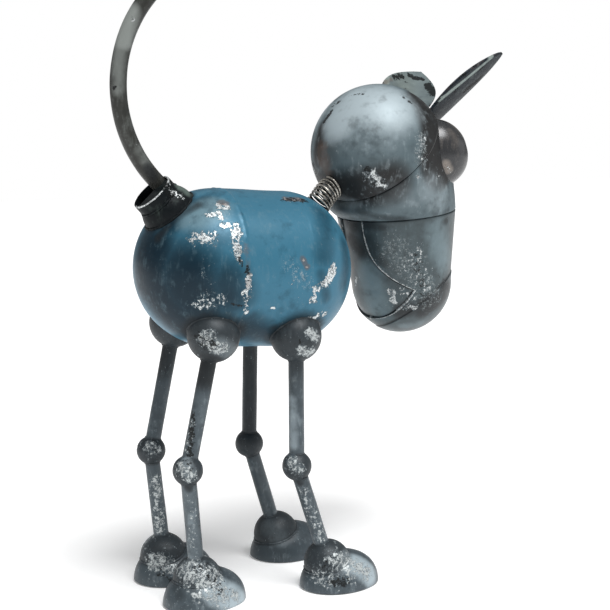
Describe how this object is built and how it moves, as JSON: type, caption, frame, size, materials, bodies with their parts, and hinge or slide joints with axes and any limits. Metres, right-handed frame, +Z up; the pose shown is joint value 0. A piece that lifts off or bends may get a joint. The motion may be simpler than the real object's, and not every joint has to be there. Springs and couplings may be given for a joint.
{
  "type": "scrap metal dog sculpture",
  "caption": "Standing dog sculpture of welded round steel scrap, with a barrel body, rod legs with ball joints, a spring neck, a long drooping muzzle and a curved rod tail.",
  "frame": {"origin": "under the middle of the dog's bounding box, on the floor that its soles stand on", "axes": "+Z up; +X the way the body faces, from tail to head; +Y the dog's left"},
  "size_m": [0.3654, 0.1704, 0.5163],
  "materials": {
    "body_paint": "worn blue teal paint over steel, chipped to bare metal",
    "head_paint": "worn grey blue paint over steel, scuffed to bare metal",
    "leg_paint": "worn grey blue paint over steel, scuffed to bare metal",
    "tail_paint": "dark grey paint, chipped",
    "tail_fittings": "dark grey blue paint over steel, bright at the rim",
    "spring_steel": "bare spring steel, dark between the coils",
    "eye_steel": "bare steel, tarnished"
  },
  "bodies": {
    "root": {"body_barrel": "body_paint", "body_front_dome": "body_paint", "body_rear_dome": "body_paint", "ear_left": "head_paint", "ear_right": "head_paint", "eye_left": "eye_steel", "eye_right": "eye_steel", "eyelid_left": "head_paint", "eyelid_right": "head_paint", "face_band": "head_paint", "front_left_ankle_ball": "leg_paint", "front_left_foot": "leg_paint", "front_left_hip_ball": "leg_paint", "front_left_knee_ball": "leg_paint", "front_left_shin": "leg_paint", "front_left_thigh": "leg_paint", "front_right_ankle_ball": "leg_paint", "front_right_foot": "leg_paint", "front_right_hip_ball": "leg_paint", "front_right_knee_ball": "leg_paint", "front_right_shin": "leg_paint", "front_right_thigh": "leg_paint", "rear_left_ankle_ball": "leg_paint", "rear_left_foot": "leg_paint", "rear_left_hip_ball": "leg_paint", "rear_left_knee_ball": "leg_paint", "rear_left_shin": "leg_paint", "rear_left_thigh": "leg_paint", "rear_right_ankle_ball": "leg_paint", "rear_right_foot": "leg_paint", "rear_right_hip_ball": "leg_paint", "rear_right_knee_ball": "leg_paint", "rear_right_shin": "leg_paint", "rear_right_thigh": "leg_paint", "jaw": "head_paint", "muzzle_shell": "head_paint", "neck_spring": "spring_steel", "nose_cap": "head_paint", "skull": "head_paint", "tail_ball": "tail_fittings", "tail_plug": "tail_fittings", "tail_ring": "tail_fittings", "tail_rod": "tail_paint"}
  },
  "joints": []
}
